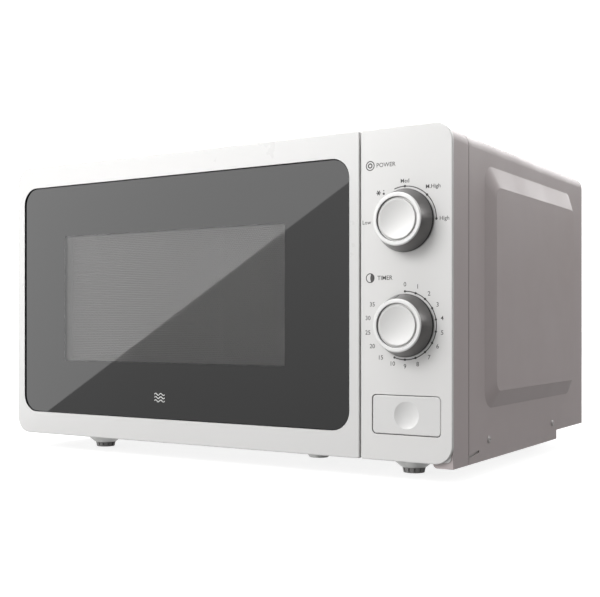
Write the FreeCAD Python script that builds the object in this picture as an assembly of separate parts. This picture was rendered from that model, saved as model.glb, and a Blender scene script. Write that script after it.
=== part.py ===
import FreeCAD, Part
import math
import os

# Countertop microwave oven, built as separate pieces. Millimetres.
# X runs left to right, Y runs from the front face to the back, Z up from the floor.
# While building, y is the depth behind the front face; save() moves it to the row's frame.

V = FreeCAD.Vector
os.makedirs("parts", exist_ok=True)

# ---- driving dimensions -------------------------------------------------
FRONT_Y = -154.0
HALF_W = 220.0
FACE_LOW = 14.5
FACE_HIGH = 259.9
FACE_R = 14.0
FACE_DEPTH = 31.0
DOOR_RIGHT = 144.8
PANEL_LEFT = 146.2
RIM = 3.0
FACE_PLATE = 2.5
EDGE = 0.8

CASE_W = 219.5
CASE_LOW = 11.4
CASE_HIGH = 256.7
CASE_FRONT = 31.6
CASE_BACK = 312.0
CASE_R = 10.0
SHEET = 1.0
BAND_LEFT = 147.6
BAND_FRONT = 2.6
EMBOSS = 5.5
NOTCH_Y = 234.5
NOTCH_RISE = 8.0

CAV_L = -197.0
CAV_R = 113.0
CAV_LOW = 38.5
CAV_HIGH = 238.5
CAV_BACK = 295.0
WALL = 0.8
PLATE_Y = 31.5
PLATE_T = 1.0
SPIN_X = (CAV_L + CAV_R) / 2
SPIN_Y = (PLATE_Y + CAV_BACK) / 2

GLASS_L = -211.0
GLASS_R = 136.0
GLASS_LOW = 34.5
GLASS_HIGH = 240.5
GLASS_CORNER = 15.0
GLASS_GAP = 0.8
GLASS_FRONT = 1.3
WIN_L = -160.0
WIN_R = 77.0
WIN_LOW = 82.5
WIN_HIGH = 194.0

HINGE_X = -209.5
HINGE_Y = 20.0
HINGE_R = 10.5
PIN_R = 3.0
RUNNING = 0.06

KNOB_X = 182.7
POWER_Z = 190.7
TIMER_Z = 114.1
KNOB_BASE_R = 23.1
KNOB_TIP_R = 18.8
KNOB_H = 14.0
SHAFT_R = 3.0

BUTTON_L = 156.0
BUTTON_R = 210.8
BUTTON_LOW = 34.4
BUTTON_HIGH = 62.8

TRAY_R = 122.5
TRAY_Z = 53.5
RING_R = 90.0
WHEEL_MID = 97.0
WHEEL_R = 7.2
WHEEL_Z = 46.0

FOOT_XS = (-156.0, 166.0)
FRONT_FOOT_Y = 50.0
REAR_FOOT_Y = 264.0


# ---- helpers ------------------------------------------------------------
def save(name, shape):
    """Write one piece, moved into the row's frame."""
    piece = shape.copy()
    piece.translate(V(0, FRONT_Y, 0))
    piece.exportStep("parts/" + name + ".step")


def box(x0, x1, y0, y1, z0, z1):
    return Part.makeBox(x1 - x0, y1 - y0, z1 - z0, V(x0, y0, z0))


def rod(x, y, z, direction, radius, length):
    return Part.makeCylinder(radius, length, V(x, y, z), V(*direction))


def cone(x, y, z, direction, r0, r1, length):
    return Part.makeCone(r0, r1, length, V(x, y, z), V(*direction))


def fuse(first, *others):
    shape = first
    for other in others:
        shape = shape.fuse(other)
    return shape.removeSplitter()


def cut(shape, *tools):
    for tool in tools:
        shape = shape.cut(tool)
    return shape


def outline(x0, x1, z0, z1, radii, y):
    """Rectangle in the XZ plane; radii for low-left, low-right, top-right, top-left."""
    k = math.sqrt(0.5)
    signs = ((1, 1), (-1, 1), (-1, -1), (1, -1))
    corners = ((x0, z0), (x1, z0), (x1, z1), (x0, z1))
    ends = []
    arcs = []
    for i in range(4):
        cx, cz = corners[i]
        sx, sz = signs[i]
        r = radii[i]
        on_side = V(cx, y, cz + sz * r)
        on_level = V(cx + sx * r, y, cz)
        middle = V(cx + sx * r * (1 - k), y, cz + sz * r * (1 - k))
        first, last = (on_side, on_level) if i % 2 == 0 else (on_level, on_side)
        ends.append((first, last))
        arcs.append(Part.Arc(first, middle, last).toShape() if r > 0 else None)
    edges = []
    for i in range(4):
        if arcs[i] is not None:
            edges.append(arcs[i])
        edges.append(Part.makeLine(ends[i][1], ends[(i + 1) % 4][0]))
    return Part.Wire(edges)


def slab(x0, x1, z0, z1, radii, y0, y1):
    """A rounded rectangle run along Y from y0 to y1."""
    if not isinstance(radii, tuple):
        radii = (radii,) * 4
    return Part.Face(outline(x0, x1, z0, z1, radii, y0)).extrude(V(0, y1 - y0, 0))


def edges_at(shape, y):
    """Edges that lie in the plane at one depth."""
    return [e for e in shape.Edges if abs(e.BoundBox.YMax - y) < 0.01 and abs(e.BoundBox.YMin - y) < 0.01]


def turned(points, x, y, z, axis):
    """Spin a (radius, height) profile about an axis through (x, y, z): 'z' up or 'y' forwards."""
    profile = [V(r, 0, h) for r, h in points]
    face = Part.Face(Part.makePolygon(profile + [profile[0]]))
    shape = face.revolve(V(0, 0, 0), V(0, 0, 1), 360)
    if axis == "y":
        shape.rotate(V(0, 0, 0), V(1, 0, 0), 90)
    shape.translate(V(x, y, z))
    return shape


def spring(x, y, z, radius, wire, pitch, height):
    """A coil standing along Z."""
    helix = Part.makeHelix(pitch, height, radius)
    circle = Part.Wire(Part.makeCircle(wire, V(radius, 0, 0), V(0, 1, 0)))
    coil = Part.Wire(helix).makePipeShell([circle], True, True)
    coil.translate(V(x, y, z))
    return coil


def around(shape, x, y, count, start=0.0):
    """Copies of a shape turned about the vertical axis through (x, y)."""
    copies = []
    for i in range(count):
        one = shape.copy()
        one.rotate(V(x, y, 0), V(0, 0, 1), start + 360.0 * i / count)
        copies.append(one)
    return copies


# ---- outer case ----------------------------------------------------------
def raised_field(side, offset):
    """The large pressed-out field on one side wall, as a sloping-edged solid."""
    def ring(x, y0, y1, z0, z1, r):
        flat = outline(y0, y1, z0, z1, (r,) * 4, 0)
        flat.rotate(V(0, 0, 0), V(0, 0, 1), 90)
        flat.translate(V(side * (x - offset), 0, 0))
        return flat
    low = ring(CASE_W, 62, 277, 50.5, 236.5, 14)
    high = ring(CASE_W + EMBOSS, 73, 270, 63.5, 220.5, 9)
    return Part.makeLoft([low, high], True, True)


def side_screw_spots():
    return [(side, y) for side in (-1, 1) for y in (70, 222)]


def case_slab(inset, low, y0, y1):
    radii = (0, 0, CASE_R - inset, CASE_R - inset)
    return slab(-CASE_W + inset, CASE_W - inset, low, CASE_HIGH - inset, radii, y0, y1)


def front_band():
    """The case's forward run around the control panel, with its crease and lower corner tab."""
    band = case_slab(0, CASE_LOW, BAND_FRONT, CASE_FRONT + 1)
    band = band.cut(case_slab(SHEET, CASE_LOW - 2, 0, CASE_FRONT + 2))
    crease = case_slab(-1, CASE_LOW - 2, CASE_FRONT - 1.1, CASE_FRONT - 0.3)
    crease = crease.cut(case_slab(0.35, CASE_LOW - 3, 0, CASE_FRONT + 2))
    band = cut(band, crease, box(-230, BAND_LEFT, 0, CASE_FRONT + 2, 0, 270))
    tab = slab(204, CASE_W - 0.5, CASE_LOW, 30.5, (3, 0, 0, 3), BAND_FRONT, BAND_FRONT + SHEET)
    return band.fuse(tab)


def outer_case():
    shell = case_slab(0, CASE_LOW, CASE_FRONT, CASE_BACK)
    hollow = case_slab(SHEET, CASE_LOW - 2, CASE_FRONT - 1, CASE_BACK + 1)
    for side in (-1, 1):
        shell = shell.fuse(raised_field(side, 0))
        hollow = hollow.fuse(raised_field(side, SHEET))
    case = shell.cut(hollow).fuse(front_band())
    case = case.cut(box(-230, 230, NOTCH_Y, CASE_BACK + 1, CASE_LOW - 1, CASE_LOW + NOTCH_RISE))
    for side, y in side_screw_spots():
        case = case.cut(rod(side * (CASE_W - 4), y, 26.5, (side, 0, 0), 1.8, 8))
    for side in (-1, 1):
        slot = box(side * CASE_W - 3, side * CASE_W + 3, 32.4, 51.0, 17.2, 19.0)
        slot.rotate(V(0, 41.5, 18.1), V(1, 0, 0), 8)
        case = case.cut(slot)
    return case.removeSplitter()


def case_screws():
    """Pan-head screws: two through each side wall, three through the rear panel."""
    screws = []
    for side, y in side_screw_spots():
        head = cone(side * CASE_W, y, 26.5, (side, 0, 0), 3.0, 2.0, 1.3)
        shank = rod(side * CASE_W, y, 26.5, (-side, 0, 0), 1.45, 6)
        slot = box(side * (CASE_W + 1.6) - 1, side * (CASE_W + 1.6) + 1, y - 1.6, y + 1.6, 26.2, 26.8)
        screws.append(fuse(head, shank).cut(slot))
    for x in (-200, 0, 205):
        head = cone(x, CASE_BACK, 27.5, (0, 1, 0), 3.6, 2.6, 2.0)
        shank = rod(x, CASE_BACK, 27.5, (0, -1, 0), 1.45, 6)
        slot = box(x - 1.8, x + 1.8, CASE_BACK + 1.2, CASE_BACK + 3, 27.1, 27.9)
        screws.append(fuse(head, shank).cut(slot))
    return Part.makeCompound(screws)


# ---- base, feet and rear panel --------------------------------------------
def base_plate():
    inner = CASE_W - SHEET - 0.1
    y0 = PLATE_Y + PLATE_T + 0.3
    y1 = CASE_BACK - SHEET - 0.2
    step = NOTCH_Y - 1.5
    low = CASE_LOW
    high = CASE_LOW + NOTCH_RISE
    plate = fuse(box(-inner, inner, y0, step + SHEET, low, low + SHEET),
                 box(-inner, inner, step, step + SHEET, low, high + SHEET),
                 box(-inner, inner, step, y1, high, high + SHEET),
                 box(-inner, -inner + SHEET, y0, y1, high, 34),
                 box(inner - SHEET, inner, y0, y1, high, 34),
                 box(-inner, -inner + SHEET, y0, step, low, 34),
                 box(inner - SHEET, inner, y0, step, low, 34),
                 box(-inner, inner, y1 - SHEET, y1, high, 34))
    presses = [(x, FRONT_FOOT_Y, 19.0, 10.0, 7.0) for x in FOOT_XS] + [(70.0, 66.0, 14.0, 8.0, 8.0)]
    for x, y, wide, narrow, drop in presses:
        plate = plate.fuse(cone(x, y, low + 0.5, (0, 0, -1), wide, narrow, drop + 0.5))
        plate = plate.cut(cone(x, y, low + SHEET + 0.01, (0, 0, -1), wide - 1.2, narrow - 1.2, drop + 0.2))
    for x in FOOT_XS:
        plate = plate.cut(rod(x, FRONT_FOOT_Y, 0, (0, 0, 1), 3.2, 12))
        plate = plate.cut(rod(x, REAR_FOOT_Y, high - 1, (0, 0, 1), 3.2, 4))
    for side, y in side_screw_spots():
        plate = plate.cut(rod(side * (inner - 4), y, 26.5, (side, 0, 0), 1.5, 8))
    for x in (-200, 0, 205):
        plate = plate.cut(rod(x, y1 - 4, 27.5, (0, 1, 0), 1.5, 8))
    for i in range(7):
        x = 120 + 12 * i
        plate = plate.cut(box(x, x + 4, 224, 231, low - 1, low + 2))
        plate = plate.cut(box(x, x + 4, 170, 178, low - 1, low + 2))
    return plate.removeSplitter()


def foot(x, y, top):
    """Ribbed foot with a stem that plugs into the base."""
    body = cone(x, y, 0, (0, 0, 1), 8.2, 9.2, top)
    stem = rod(x, y, top, (0, 0, 1), 3.0, 4)
    shape = body.fuse(stem)
    gap = box(x + 7.6, x + 12, y - 0.7, y + 0.7, 0.8, top - 0.6)
    for one in around(gap, x, y, 12):
        shape = shape.cut(one)
    return shape.removeSplitter()


def feet(y, top):
    return Part.makeCompound([foot(x, y, top) for x in FOOT_XS])


def rear_panel():
    panel = slab(-218.3, 218.3, 20.5, 255.5, (0, 0, 8.8, 8.8), CASE_BACK - SHEET, CASE_BACK)
    for row in range(2):
        for i in range(9):
            x = -180 + 13 * i
            z = 150 + 36 * row
            panel = panel.cut(box(x, x + 5, CASE_BACK - 3, CASE_BACK + 1, z, z + 28))
    for i in range(-3, 4):
        half = math.sqrt(36.0 ** 2 - (10.0 * i) ** 2)
        x = 165 + 10 * i
        panel = panel.cut(box(x - 2, x + 2, CASE_BACK - 3, CASE_BACK + 1, 190 - half, 190 - 3))
        panel = panel.cut(box(x - 2, x + 2, CASE_BACK - 3, CASE_BACK + 1, 190 + 3, 190 + half))
    for x in (-200, 0, 205):
        panel = panel.cut(rod(x, CASE_BACK - 3, 27.5, (0, 1, 0), 1.8, 8))
    for x in (-150, 110):
        panel = panel.cut(rod(x, CASE_BACK - 3, 110, (0, 1, 0), 3.2, 8))
    panel = panel.cut(rod(180, CASE_BACK - 3, 70, (0, 1, 0), 8.2, 8))
    return panel


def rear_spacers():
    """Two stand-off bumpers that keep the back off a wall."""
    blocks = []
    for x in (-150, 110):
        block = slab(x - 12, x + 12, 96, 124, 4.0, CASE_BACK, CASE_BACK + 10)
        block = block.cut(slab(x - 9, x + 9, 99, 121, 2.0, CASE_BACK + 6, CASE_BACK + 11))
        blocks.append(block.fuse(rod(x, CASE_BACK, 110, (0, -1, 0), 3.0, 5)))
    return Part.makeCompound(blocks)


def cord_gland():
    flange = cone(180, CASE_BACK, 70, (0, 1, 0), 12.5, 10.5, 5)
    sleeve = rod(180, CASE_BACK, 70, (0, -1, 0), 8.0, 7)
    lip = rod(180, CASE_BACK - SHEET, 70, (0, -1, 0), 9.5, 2.5)
    body = fuse(flange, sleeve, lip)
    return body.cut(rod(180, CASE_BACK - 8, 70, (0, 1, 0), 4.0, 14))


# ---- cavity ---------------------------------------------------------------
HOOK_ZS = (47.0, 179.0)
HOOK_L = 128.0
HOOK_R = 134.0
HINGE_ARM_ZS = (22.8, 248.4)


def front_plate():
    y0 = PLATE_Y
    y1 = PLATE_Y + PLATE_T
    plate = slab(-218.2, 218.2, 15.8, 255.4, (0, 0, 8.8, 8.8), y0, y1)
    plate = plate.cut(slab(CAV_L, CAV_R, CAV_LOW, CAV_HIGH, (2, 2, 10, 10), y0 - 1, y1 + 1))
    plate = plate.cut(slab(154.5, 211.5, 70, 226, 4.0, y0 - 1, y1 + 1))
    plate = plate.cut(box(168, 184, y0 - 1, y1 + 1, 52, 64))
    for z in HOOK_ZS:
        plate = plate.cut(box(HOOK_L - 1.2, HOOK_R + 2.4, y0 - 1, y1 + 1, z - 1.0, z + 21))
    for z in HINGE_ARM_ZS:
        plate = plate.cut(box(HINGE_X - 5.5, HINGE_X + 5.5, y0 - 1, y1 + 1, z, z + 3.2))
    for x, z in hinge_screw_spots():
        plate = plate.cut(rod(x, y0 - 1, z, (0, 1, 0), 1.8, 4))
    return plate


def cavity_wrapper():
    y0 = PLATE_Y + PLATE_T
    outer = slab(CAV_L - WALL, CAV_R + WALL, CAV_LOW, CAV_HIGH + WALL, (0, 0, 10.8, 10.8), y0, CAV_BACK)
    inner = slab(CAV_L, CAV_R, CAV_LOW - 1, CAV_HIGH, (0, 0, 10, 10), y0 - 1, CAV_BACK + 1)
    wrap = outer.cut(inner)
    wrap = wrap.cut(box(CAV_R - 1, CAV_R + 2, 130, 190, 140, 175))
    for i in range(4):
        for j in range(4):
            wrap = wrap.cut(rod(CAV_R - 1, 146 + 6 * i, 202 + 6 * j, (1, 0, 0), 1.6, 3))
            wrap = wrap.cut(rod(CAV_L + 1, 230 + 7 * i, 190 + 7 * j, (-1, 0, 0), 1.8, 3))
    return wrap


def cavity_floor():
    y0 = PLATE_Y + PLATE_T
    floor = box(CAV_L - WALL, CAV_R + WALL, y0, CAV_BACK + WALL, CAV_LOW - WALL, CAV_LOW)
    return floor.cut(rod(SPIN_X, SPIN_Y, CAV_LOW - 2, (0, 0, 1), 6.0, 4))


def cavity_back():
    return box(CAV_L - WALL, CAV_R + WALL, CAV_BACK, CAV_BACK + WALL, CAV_LOW, CAV_HIGH + WALL)


def waveguide():
    x0 = CAV_R + WALL
    duct = box(x0, x0 + 18, 120, 200, 118, 190)
    duct = duct.cut(box(x0 - 1, x0 + 17, 121, 199, 119, 189))
    flange = box(x0, x0 + 1, 114, 206, 112, 196).cut(box(x0 - 1, x0 + 2, 121, 199, 119, 189))
    return fuse(duct, flange).cut(rod(x0 + 15, 160, 140, (1, 0, 0), 9.5, 5))


def waveguide_cover():
    return box(CAV_R - 0.6, CAV_R, 124, 196, 134, 181)


def lamp_holder():
    x0 = CAV_R + WALL
    cup = box(x0 + 17, x0 + 30, 140, 172, 198, 226)
    legs = fuse(cup, box(x0, x0 + 17, 140, 142, 198, 226), box(x0, x0 + 17, 170, 172, 198, 226))
    return legs.cut(rod(x0 + 16, 156, 212, (1, 0, 0), 7.0, 8))


def lamp_bulb():
    x0 = CAV_R + WALL
    glass = rod(x0 + 5, 156, 212, (1, 0, 0), 7.0, 11).fuse(Part.makeSphere(7.0, V(x0 + 9, 156, 212)))
    glass = glass.common(box(x0 + 2.5, x0 + 16, 140, 172, 198, 226))
    return fuse(glass, rod(x0 + 16, 156, 212, (1, 0, 0), 6.9, 7.5))


# ---- turntable --------------------------------------------------------------
def turntable_motor():
    can = rod(SPIN_X, SPIN_Y, 19.0, (0, 0, 1), 25.0, CAV_LOW - WALL - 19.0)
    ears = box(SPIN_X - 34, SPIN_X + 34, SPIN_Y - 6, SPIN_Y + 6, 35.5, CAV_LOW - WALL)
    terminals = box(SPIN_X - 9, SPIN_X + 9, SPIN_Y + 20, SPIN_Y + 34, 24, 32)
    motor = fuse(can, ears, terminals)
    return motor.cut(rod(SPIN_X, SPIN_Y, 24.0, (0, 0, 1), 3.5 + RUNNING, 20))


def turntable_coupler():
    shaft = rod(SPIN_X, SPIN_Y, 25.0, (0, 0, 1), 3.5, 16)
    hub = rod(SPIN_X, SPIN_Y, 39.2, (0, 0, 1), 7.5, 13.8)
    arm = box(SPIN_X, SPIN_X + 14, SPIN_Y - 3, SPIN_Y + 3, 42.0, 53.0)
    return fuse(hub, shaft, *around(arm, SPIN_X, SPIN_Y, 3, 90))


def glass_tray():
    profile = [(0, 0), (112, 0), (TRAY_R, 6.5), (TRAY_R, 9.5), (119.5, 9.5), (111, 4), (0, 4)]
    dish = turned(profile, SPIN_X, SPIN_Y, TRAY_Z, "z")
    lug = rod(SPIN_X + 11.3, SPIN_Y, 46.0, (0, 0, 1), 2.5, 8.5)
    return fuse(dish, *around(lug, SPIN_X, SPIN_Y, 3, 30))


def roller_ring():
    hoop = rod(SPIN_X, SPIN_Y, WHEEL_Z - 2.5, (0, 0, 1), RING_R + 1.5, 5)
    hoop = hoop.cut(rod(SPIN_X, SPIN_Y, WHEEL_Z - 4, (0, 0, 1), RING_R - 1.5, 8))
    axle = rod(SPIN_X + RING_R, SPIN_Y, WHEEL_Z, (1, 0, 0), 1.5, 14)
    cap = rod(SPIN_X + RING_R + 12.6, SPIN_Y, WHEEL_Z, (1, 0, 0), 2.4, 1.4)
    return fuse(hoop, *around(axle.fuse(cap), SPIN_X, SPIN_Y, 3, 90))


def roller_wheel(angle):
    profile = [(1.5 + RUNNING, -4.6), (3.4, -4.6), (3.4, -3.4), (6.4, -3.4), (WHEEL_R, -2.6),
               (WHEEL_R, 2.6), (6.4, 3.4), (3.4, 3.4), (3.4, 4.6), (1.5 + RUNNING, 4.6)]
    wheel = turned(profile, 0, 0, 0, "z")
    wheel.rotate(V(0, 0, 0), V(0, 1, 0), 90)
    wheel.translate(V(SPIN_X + WHEEL_MID, SPIN_Y, WHEEL_Z))
    wheel.rotate(V(SPIN_X, SPIN_Y, 0), V(0, 0, 1), angle)
    return wheel


# ---- door -------------------------------------------------------------------
def corner_trim(radius):
    """What is taken off the door's rear hinge corner so that it clears the case."""
    block = box(-HALF_W - 1, HINGE_X, HINGE_Y, FACE_DEPTH + 2, FACE_LOW - 1, FACE_HIGH + 1)
    return block.cut(rod(HINGE_X, HINGE_Y, FACE_LOW - 2, (0, 0, 1), radius, FACE_HIGH))


def hook_windows(y0, y1):
    return [box(HOOK_L - 1.0, HOOK_R + 1.0, y0, y1, z - 1.0, z + 20.5) for z in HOOK_ZS]


def door_frame():
    body = slab(-HALF_W, DOOR_RIGHT, FACE_LOW, FACE_HIGH, (FACE_R, 1.5, 1.5, FACE_R), 0, FACE_DEPTH)
    body = body.makeFillet(EDGE, edges_at(body, 0))
    body = body.cut(corner_trim(HINGE_R))
    hollow = slab(-HALF_W + RIM, DOOR_RIGHT - RIM, FACE_LOW + RIM, FACE_HIGH - RIM,
                  (11, 1, 1, 11), 6, FACE_DEPTH + 1)
    hollow = hollow.cut(corner_trim(HINGE_R - RIM))
    body = body.cut(hollow)
    body = body.cut(slab(GLASS_L - 0.3, GLASS_R + 0.3, GLASS_LOW - 0.3, GLASS_HIGH + 0.3,
                         GLASS_CORNER + 0.3, -1, 4.6))
    body = body.cut(slab(GLASS_L + 8, GLASS_R - 8, GLASS_LOW + 8, GLASS_HIGH - 8, 8.0, 3, 7))
    bosses = [rod(HINGE_X, HINGE_Y, 26.0, (0, 0, 1), 7.6, 14),
              rod(HINGE_X, HINGE_Y, 234.0, (0, 0, 1), 7.6, 14.4)]
    posts = [rod(x, 5.5, z, (0, 1, 0), 4.0, 7.1) for x in (-180, -40, 110) for z in (28, 246)]
    guides = [box(HOOK_R + 0.4, DOOR_RIGHT - RIM + 0.5, 12, 27, z, z + 6) for z in (90, 150)]
    anchor = box(HOOK_L - 2, DOOR_RIGHT - RIM + 0.5, 14, 28, 231, 234)
    body = fuse(body, anchor, *(bosses + posts + guides))
    reach = HINGE_X - 12
    body = cut(body,
               rod(HINGE_X, HINGE_Y, 20.0, (0, 0, 1), PIN_R + RUNNING, 232),
               box(reach, HINGE_X + 6, HINGE_Y - 6, FACE_DEPTH + 2, 22.6, 26.0),
               box(reach, HINGE_X + 6, HINGE_Y - 6, FACE_DEPTH + 2, 248.4, 251.8))
    return body


def door_glass():
    inset = GLASS_GAP - 0.3
    return slab(GLASS_L + inset, GLASS_R - inset, GLASS_LOW + inset, GLASS_HIGH - inset,
                GLASS_CORNER - inset, GLASS_FRONT, 4.6)


def door_inner_frame():
    """Steel choke pan that closes the cavity against leakage, with the viewing window."""
    pan = slab(-201.5, 125.0, 22.0, 252.0, 4.0, 12.6, 30.0)
    pan = pan.cut(slab(-200.7, 124.2, 22.8, 251.2, 3.2, 13.4, 31.0))
    pan = pan.cut(slab(WIN_L, WIN_R, WIN_LOW, WIN_HIGH, 3.0, 12.0, 14.0))
    return pan


def door_screen():
    """Perforated shielding sheet; the fine holes are left out of the solid."""
    return slab(WIN_L - 12, WIN_R + 12, WIN_LOW - 12, WIN_HIGH + 12, 4.0, 12.0, 12.6)


def door_choke_cover():
    cover = slab(-204.5, 140.5, 18.5, 255.9, (2, 1, 1, 2), 30.0, FACE_DEPTH)
    cover = cover.cut(slab(-190, 106, 46, 231, 6.0, 29, FACE_DEPTH + 1))
    return cut(cover, *hook_windows(29, 32))


def door_inner_film():
    return slab(-194, 110, 42, 235, 8.0, 29.4, 30.0)


def door_hook():
    """One latch bar with two barbed hooks that reach through the front plate."""
    bar = box(HOOK_L, HOOK_R, 15, 27, 50, 205)
    for z in HOOK_ZS:
        reach = z + 4.0
        arm = box(HOOK_L, HOOK_R, 26, 50, reach, reach + 11)
        barb = box(HOOK_L, HOOK_R, 43, 50, z, reach + 1)
        nose = box(HOOK_L - 1, HOOK_R + 1, 46, 54, reach + 6, reach + 20)
        nose.rotate(V(0, 46, reach + 11), V(1, 0, 0), -35)
        bar = bar.fuse(arm.fuse(barb).cut(nose))
    return bar.removeSplitter()


def hook_spring():
    return spring((HOOK_L + HOOK_R) / 2, 21, 205.6, 2.2, 0.4, 3.2, 24.0)


# ---- hinges -------------------------------------------------------------------
def hinge_screw_spots():
    return [(HINGE_X + 1.5, z) for z in (32, 41, 233, 242)]


def hinge_bracket(arm_z, pin_z, flange_z):
    arm = box(HINGE_X - 5, HINGE_X + 5, HINGE_Y, 34.2, arm_z, arm_z + 2)
    arm = arm.fuse(rod(HINGE_X, HINGE_Y, arm_z, (0, 0, 1), 5, 2))
    pin = rod(HINGE_X, HINGE_Y, pin_z, (0, 0, 1), PIN_R, 13)
    flange = box(-216, -199, PLATE_Y + PLATE_T, 34.2, flange_z, flange_z + 26)
    bracket = fuse(arm, pin, flange)
    for x, z in hinge_screw_spots():
        bracket = bracket.cut(rod(x, 30, z, (0, 1, 0), 1.5, 8))
    return bracket


def hinge_screws():
    screws = []
    for x, z in hinge_screw_spots():
        head = rod(x, 34.2, z, (0, 1, 0), 3.2, 2.0)
        shank = rod(x, 31.7, z, (0, 1, 0), 1.45, 3)
        socket = box(x - 1.9, x + 1.9, 35.4, 37, z - 0.4, z + 0.4)
        screws.append(fuse(head, shank).cut(socket))
    return Part.makeCompound(screws)


# ---- control panel ------------------------------------------------------------
def control_panel():
    body = slab(PANEL_LEFT, HALF_W, FACE_LOW, FACE_HIGH, (1.5, FACE_R, FACE_R, 1.5), 0, FACE_PLATE)
    body = body.makeFillet(EDGE, edges_at(body, 0))
    right = CASE_W - SHEET - 0.5
    low = FACE_LOW + 1.5
    high = CASE_HIGH - SHEET - 0.5
    body = body.fuse(slab(PANEL_LEFT, right, low, high, (1.5, 3, 8.6, 1.5), FACE_PLATE - 0.5, FACE_DEPTH))
    body = body.cut(slab(PANEL_LEFT + RIM, right - RIM, low + RIM, high - RIM, (1, 1, 5.6, 1),
                         FACE_PLATE, FACE_DEPTH + 1))
    body = body.cut(box(203.5, 221, FACE_PLATE, BAND_FRONT + SHEET + 0.1, 10, 31))
    sleeve = slab(BUTTON_L - 1.8, BUTTON_R + 1.8, BUTTON_LOW - 1.8, BUTTON_HIGH + 1.8, 4.2, 2, 13)
    body = body.fuse(sleeve)
    body = body.cut(slab(BUTTON_L - 0.5, BUTTON_R + 0.5, BUTTON_LOW - 0.5, BUTTON_HIGH + 0.5, 3.4, -1, 14))
    for z in (POWER_Z, TIMER_Z):
        body = body.cut(rod(KNOB_X, -1, z, (0, 1, 0), 8.5, 5))
    return body.removeSplitter()


def knob(z):
    """Tapered dial knob with a recessed face, hollow behind, with a bored hub."""
    bore = SHAFT_R + 0.03
    profile = [(bore, 5.0), (6.5, 5.0), (6.5, -9.0), (18.2, -9.0), (20.6, -0.6),
               (KNOB_BASE_R, -0.6), (KNOB_BASE_R, -1.6), (KNOB_TIP_R + 0.5, -13.3),
               (KNOB_TIP_R - 0.2, -KNOB_H), (16.6, -KNOB_H), (16.2, -13.6), (16.2, -10.8),
               (0, -10.8), (0, -6.0), (bore, -6.0)]
    body = turned([(r, -h) for r, h in profile], KNOB_X, 0, z, "y")
    corners = ((-13.2, 18.5), (-3.0, 21.8), (-3.0, 25.0), (-13.2, 25.0))
    points = [V(KNOB_X - 0.5, y, z + up) for y, up in corners]
    groove = Part.Face(Part.makePolygon(points + [points[0]])).extrude(V(1.0, 0, 0))
    groove.rotate(V(KNOB_X, 0, z), V(0, 1, 0), -7)
    return body.cut(groove)


def knob_insert(z):
    """Satin dished disc set in the dial's face, with an open channel around it."""
    profile = [(0, -10.8), (16.0, -10.8), (16.0, -12.3), (14.9, -12.3), (14.7, -13.2),
               (14.4, -13.45), (0, -13.45)]
    disc = turned([(r, -h) for r, h in profile], KNOB_X, 0, z, "y")
    return disc.cut(Part.makeSphere(60.3, V(KNOB_X, -72.15, z)))


def dial_shaft(z, end):
    shaft = rod(KNOB_X, -6, z, (0, 1, 0), SHAFT_R, 6 + end)
    return shaft


def timer_unit():
    case = box(KNOB_X - 26, KNOB_X + 26, 8, 46, TIMER_Z - 26, TIMER_Z + 26)
    bell = rod(KNOB_X, 46, TIMER_Z, (0, 1, 0), 21, 3).fuse(cone(KNOB_X, 49, TIMER_Z, (0, 1, 0), 21, 14, 6))
    posts = [rod(KNOB_X + a, 2.5, TIMER_Z + b, (0, 1, 0), 3.5, 6) for a in (-21, 21) for b in (-21, 21)]
    tabs = [box(KNOB_X - 24 + 9 * i, KNOB_X - 20 + 9 * i, 30, 38, TIMER_Z - 33, TIMER_Z - 25) for i in range(3)]
    body = fuse(case, bell, *(posts + tabs))
    return body.cut(rod(KNOB_X, 0, TIMER_Z, (0, 1, 0), SHAFT_R + RUNNING, 24))


def power_switch():
    case = box(KNOB_X - 19, KNOB_X + 19, 8, 32, POWER_Z - 21, POWER_Z + 21)
    drum = rod(KNOB_X, 32, POWER_Z, (0, 1, 0), 15, 5)
    posts = [rod(KNOB_X + a, 2.5, POWER_Z + b, (0, 1, 0), 3.5, 6) for a in (-14.5, 14.5) for b in (-16.5, 16.5)]
    tabs = []
    for x in (KNOB_X - 14, KNOB_X - 3, KNOB_X + 8):
        tabs.append(box(x, x + 5, 18, 26, POWER_Z - 27, POWER_Z - 20))
    body = fuse(case, drum, *(posts + tabs))
    return body.cut(rod(KNOB_X, 0, POWER_Z, (0, 1, 0), SHAFT_R + RUNNING, 20))


# ---- release button, lever and interlock ----------------------------------------
LEVER_Y = 55.0
LEVER_Z = 43.5
LEVER_R = 2.0


def release_button():
    shell = slab(BUTTON_L, BUTTON_R, BUTTON_LOW, BUTTON_HIGH, 3.0, 0.3, 16)
    shell = shell.makeFillet(0.8, edges_at(shell, 0.3))
    shell = shell.cut(slab(BUTTON_L + 2, BUTTON_R - 2, BUTTON_LOW + 2, BUTTON_HIGH - 2, 1.5, 3.6, 17))
    dimple = Part.makeSphere(28.7, V(KNOB_X + 1, 0.3 + 1.8 - 28.7, 48.6))
    tail = box(172, 180, 2.5, 51.4, 56.5, 59.5)
    return fuse(shell.cut(dimple), tail)


def button_spring():
    """Return spring between the front plate and the button; it keeps its pressed length."""
    coil = spring(0, 0, 0, 3.6, 0.5, 4.0, 20.0)
    coil.rotate(V(0, 0, 0), V(1, 0, 0), -90)
    coil.translate(V(198, 10.6, 48))
    return coil


def button_lever():
    shaft = rod(116.8, LEVER_Y, LEVER_Z, (1, 0, 0), LEVER_R, 66.4)
    fork = box(HOOK_L, HOOK_R, 45, 57, 41.5, 46.3)
    arm = box(172, 180, 52.0, 57, 41.5, 59.6)
    return fuse(shaft, fork, arm)


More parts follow.
